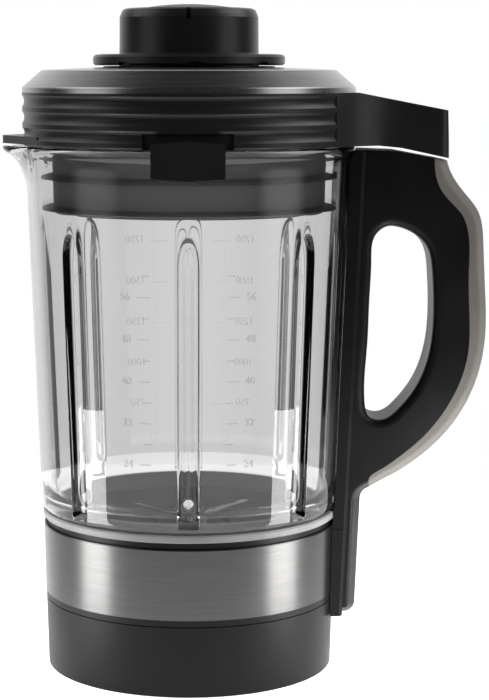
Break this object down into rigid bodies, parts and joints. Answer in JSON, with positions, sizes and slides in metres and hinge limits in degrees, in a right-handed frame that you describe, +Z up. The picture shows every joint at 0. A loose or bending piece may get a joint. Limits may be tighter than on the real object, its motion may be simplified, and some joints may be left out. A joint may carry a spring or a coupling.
{
  "type": "heated blender jug",
  "caption": "Fluted glass blender jug with spout, loop handle, steel band and heater base, with a ribbed lid and a turning centre cap.",
  "frame": {"origin": "on the jug's axis at the plane it stands on, the mouth of the base socket", "axes": "+Z up along the jug's axis, +X towards the handle, -X towards the spout"},
  "size_m": [0.2179, 0.1564, 0.299],
  "materials": {
    "black_plastic": "satin moulded",
    "lid_black": "satin moulded",
    "brushed_steel": "circumferentially brushed",
    "plate_silver": "satin bevel with a polished edge",
    "clear_glass": "pressed and fire polished",
    "grey_silicone": "matt",
    "dark_silicone": "matt",
    "plug_grey": "satin moulded",
    "grip_taupe": "soft touch",
    "insert_grey": "fine grain",
    "bowl_steel": "spun, dark coated",
    "blade_steel": "ground",
    "machined_steel": "turned",
    "zinc_steel": "zinc plated",
    "aluminium": "as cast",
    "brass": "satin",
    "board_green": "solder mask",
    "magnet": "nickel plated",
    "reed_glass": "drawn tube"
  },
  "bodies": {
    "jug": {"base_skirt": "black_plastic", "collar_ring": "black_plastic", "steel_band": "brushed_steel", "bottom_cover": "black_plastic", "base_screws": "zinc_steel", "connector_housing": "black_plastic", "connector_pins": "brass", "heating_bowl": "bowl_steel", "heat_spreader": "aluminium", "heating_element": "machined_steel", "element_terminals": "brass", "thermostat": "zinc_steel", "thermal_fuse": "brass", "fuse_clip": "zinc_steel", "temperature_sensor": "machined_steel", "bearing_housing": "machined_steel", "housing_gasket": "dark_silicone", "housing_nut": "aluminium", "lower_bearing": "machined_steel", "upper_bearing": "machined_steel", "shaft_seal": "dark_silicone", "bearing_circlip": "zinc_steel", "glass_jug": "clear_glass", "glass_gasket": "grey_silicone", "handle_body": "black_plastic", "grip_strip": "grip_taupe", "switch_cover": "black_plastic", "handle_saddle": "black_plastic", "base_saddle": "black_plastic", "handle_screws": "zinc_steel", "upper_handle_screws": "zinc_steel", "lid_switch_board": "board_green", "reed_switch": "reed_glass", "switch_lead": "dark_silicone"},
    "blade_unit": {"blade_shaft": "machined_steel", "blade_spacer": "machined_steel", "lower_blade": "blade_steel", "upper_blade": "blade_steel", "blade_nut": "machined_steel", "drive_coupling": "black_plastic", "shaft_circlip": "zinc_steel"},
    "lid": {"lid_body": "lid_black", "lid_top_plate": "plate_silver", "lid_plug": "plug_grey", "lid_seal_upper": "dark_silicone", "lid_seal_lower": "dark_silicone", "lid_screws": "zinc_steel", "lid_tab_front": "lid_black", "lid_tab_rear": "lid_black", "tongue_cover": "lid_black", "lid_magnet": "magnet"},
    "cap_ring": {"cap_seal": "dark_silicone"},
    "cap": {"cap_body": "lid_black", "cap_insert": "insert_grey"}
  },
  "joints": [
    {"name": "blade_spin", "type": "hinge", "parent": "jug", "child": "blade_unit", "pos_m": [0, 0, 0.04], "axis": [0, 0, 1], "continuous": true},
    {"name": "lid_lift", "type": "slide", "parent": "jug", "child": "lid", "axis": [0, 0, 1], "range_m": [0, 0.06]},
    {"name": "cap_lift", "type": "slide", "parent": "lid", "child": "cap_ring", "axis": [0, 0, 1], "range_m": [0, 0.05]},
    {"name": "cap_turn", "type": "hinge", "parent": "cap_ring", "child": "cap", "pos_m": [0, 0, 0.27], "axis": [0, 0, 1], "range_deg": [0, 36]}
  ]
}
